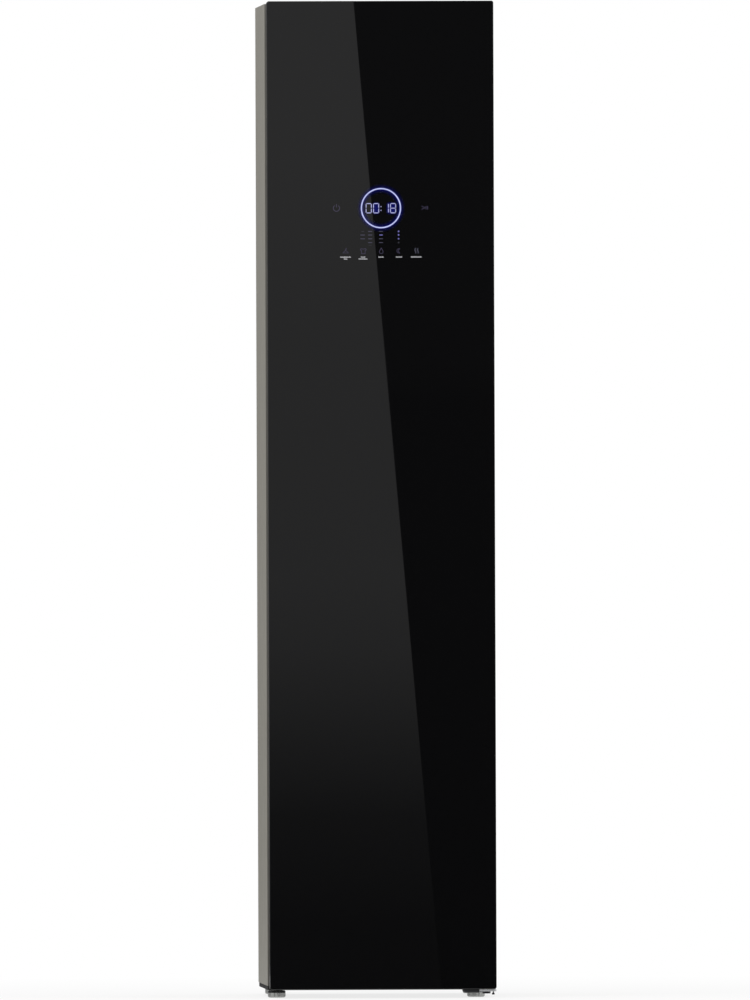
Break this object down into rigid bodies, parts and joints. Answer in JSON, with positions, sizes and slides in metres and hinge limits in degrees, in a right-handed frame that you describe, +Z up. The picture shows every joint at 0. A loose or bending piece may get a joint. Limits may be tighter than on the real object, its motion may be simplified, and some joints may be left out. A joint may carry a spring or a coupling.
{
  "type": "clothes care steam cabinet",
  "caption": "Slim free-standing clothes care steam cabinet with a black glass door hinged on the right, beige-grey steel sides, a shaking hanger bar, fan, boiler and lift-out tanks.",
  "frame": {"origin": "on the floor, in the middle of the cabinet's footprint with its door", "axes": "+Z up; +X to the right as one faces the door; -Y towards the person in front, +Y to the rear"},
  "size_m": [0.425, 0.585, 1.85],
  "materials": {
    "black_glass": "opaque black back-painted glass, high gloss",
    "side_steel": "warm beige-grey powder coat, satin",
    "inner_steel": "galvanised and painted sheet, satin",
    "dark_trim": "dark anodised, satin",
    "black_plastic": "fine grain, matt",
    "grey_plastic": "light grey, smooth matt",
    "white_plastic": "white, smooth",
    "tank_plastic": "smoky blue, glossy",
    "lens_plastic": "milky, glossy",
    "zinc_steel": "bright zinc plated",
    "tray_steel": "black enamel",
    "bright_steel": "bright plated",
    "aluminium": "plain cast or rolled",
    "rubber": "dark grey, matt",
    "felt": "pressed insulating felt",
    "circuit": "solder-mask green",
    "bronze": "sintered bronze"
  },
  "bodies": {
    "cabinet": {"side_panel_left": "side_steel", "side_panel_right": "side_steel", "top_panel": "side_steel", "rear_panel": "inner_steel", "base_tray": "tray_steel", "front_frame": "side_steel", "cord_gland": "black_plastic", "upper_hinge_bracket": "zinc_steel", "lower_hinge_plate": "zinc_steel", "hinge_stop_block": "black_plastic", "liner_left": "grey_plastic", "liner_right": "grey_plastic", "liner_back": "grey_plastic", "liner_ceiling": "grey_plastic", "liner_floor": "grey_plastic", "insulation_left": "felt", "insulation_right": "felt", "cavity_lamp_lens": "lens_plastic", "drive_frame": "zinc_steel", "drive_motor": "zinc_steel", "fan_scroll": "grey_plastic", "fan_motor": "zinc_steel", "air_duct": "inner_steel", "air_heater": "aluminium", "steam_generator": "aluminium", "feed_pump": "black_plastic", "well_hose": "rubber", "feed_hose": "rubber", "steam_hose": "rubber", "steam_nozzle": "white_plastic", "control_box": "white_plastic"},
    "door": {"door_glass": "black_glass", "door_grip_rail": "dark_trim", "door_grip_back_rail": "dark_trim", "door_grip_web": "black_plastic", "door_hinge_rail": "dark_trim", "door_top_cap": "black_plastic", "door_bottom_cap": "black_plastic", "door_bush_upper": "bronze", "door_bush_lower": "bronze", "door_inner_panel": "grey_plastic", "door_core": "felt", "door_gasket": "rubber", "display_housing": "black_plastic", "display_board": "circuit"},
    "shelf": {"shelf": "white_plastic"},
    "lint_filter": {"lint_filter": "grey_plastic"},
    "aroma_cassette": {"aroma_cassette": "white_plastic"},
    "fresh_tank": {"fresh_tank": "tank_plastic"},
    "fresh_tank_lid": {"fresh_tank_lid": "white_plastic"},
    "drain_tank": {"drain_tank": "tank_plastic"},
    "drain_tank_lid": {"drain_tank_lid": "white_plastic"},
    "hanger": {"yoke_carriage": "black_plastic", "hanger_bar": "bright_steel"},
    "drive_crank": {"drive_crank": "white_plastic"},
    "fan_wheel": {"fan_wheel": "black_plastic"},
    "foot_front_left": {"foot_front_left": "bright_steel"},
    "foot_front_right": {"foot_front_right": "bright_steel"},
    "foot_rear_left": {"foot_rear_left": "bright_steel"},
    "foot_rear_right": {"foot_rear_right": "bright_steel"}
  },
  "joints": [
    {"name": "door_hinge", "type": "hinge", "parent": "cabinet", "child": "door", "pos_m": [0.1925, -0.2675, 0], "axis": [0, 0, 1], "range_deg": [0, 110]},
    {"name": "hanger_slide", "type": "slide", "parent": "cabinet", "child": "hanger", "axis": [1, 0, 0], "range_m": [-0.015, 0.015]},
    {"name": "crank_spin", "type": "hinge", "parent": "cabinet", "child": "drive_crank", "pos_m": [0, 0, 1.7815], "axis": [0, 0, 1], "continuous": true},
    {"name": "fan_spin", "type": "hinge", "parent": "cabinet", "child": "fan_wheel", "pos_m": [0, 0.1831, 0.142], "axis": [1, 0, 0], "continuous": true},
    {"name": "shelf_lift", "type": "slide", "parent": "cabinet", "child": "shelf", "axis": [0, 0, 1], "range_m": [0, 0.06]},
    {"name": "fresh_tank_lift", "type": "slide", "parent": "cabinet", "child": "fresh_tank", "axis": [0, 0, 1], "range_m": [0, 0.185]},
    {"name": "fresh_lid_lift", "type": "slide", "parent": "fresh_tank", "child": "fresh_tank_lid", "axis": [0, 0, 1], "range_m": [0, 0.04]},
    {"name": "drain_tank_lift", "type": "slide", "parent": "cabinet", "child": "drain_tank", "axis": [0, 0, 1], "range_m": [0, 0.185]},
    {"name": "drain_lid_lift", "type": "slide", "parent": "drain_tank", "child": "drain_tank_lid", "axis": [0, 0, 1], "range_m": [0, 0.04]},
    {"name": "filter_lift", "type": "slide", "parent": "cabinet", "child": "lint_filter", "axis": [0, 0, 1], "range_m": [0, 0.05]},
    {"name": "cassette_lift", "type": "slide", "parent": "cabinet", "child": "aroma_cassette", "axis": [0, 0, 1], "range_m": [0, 0.06]},
    {"name": "foot_front_left_turn", "type": "hinge", "parent": "cabinet", "child": "foot_front_left", "pos_m": [-0.1945, -0.1905, 0], "axis": [0, 0, 1], "continuous": true},
    {"name": "foot_front_right_turn", "type": "hinge", "parent": "cabinet", "child": "foot_front_right", "pos_m": [0.176, -0.1905, 0], "axis": [0, 0, 1], "continuous": true},
    {"name": "foot_rear_left_turn", "type": "hinge", "parent": "cabinet", "child": "foot_rear_left", "pos_m": [-0.185, 0.2475, 0], "axis": [0, 0, 1], "continuous": true},
    {"name": "foot_rear_right_turn", "type": "hinge", "parent": "cabinet", "child": "foot_rear_right", "pos_m": [0.185, 0.2475, 0], "axis": [0, 0, 1], "continuous": true}
  ]
}
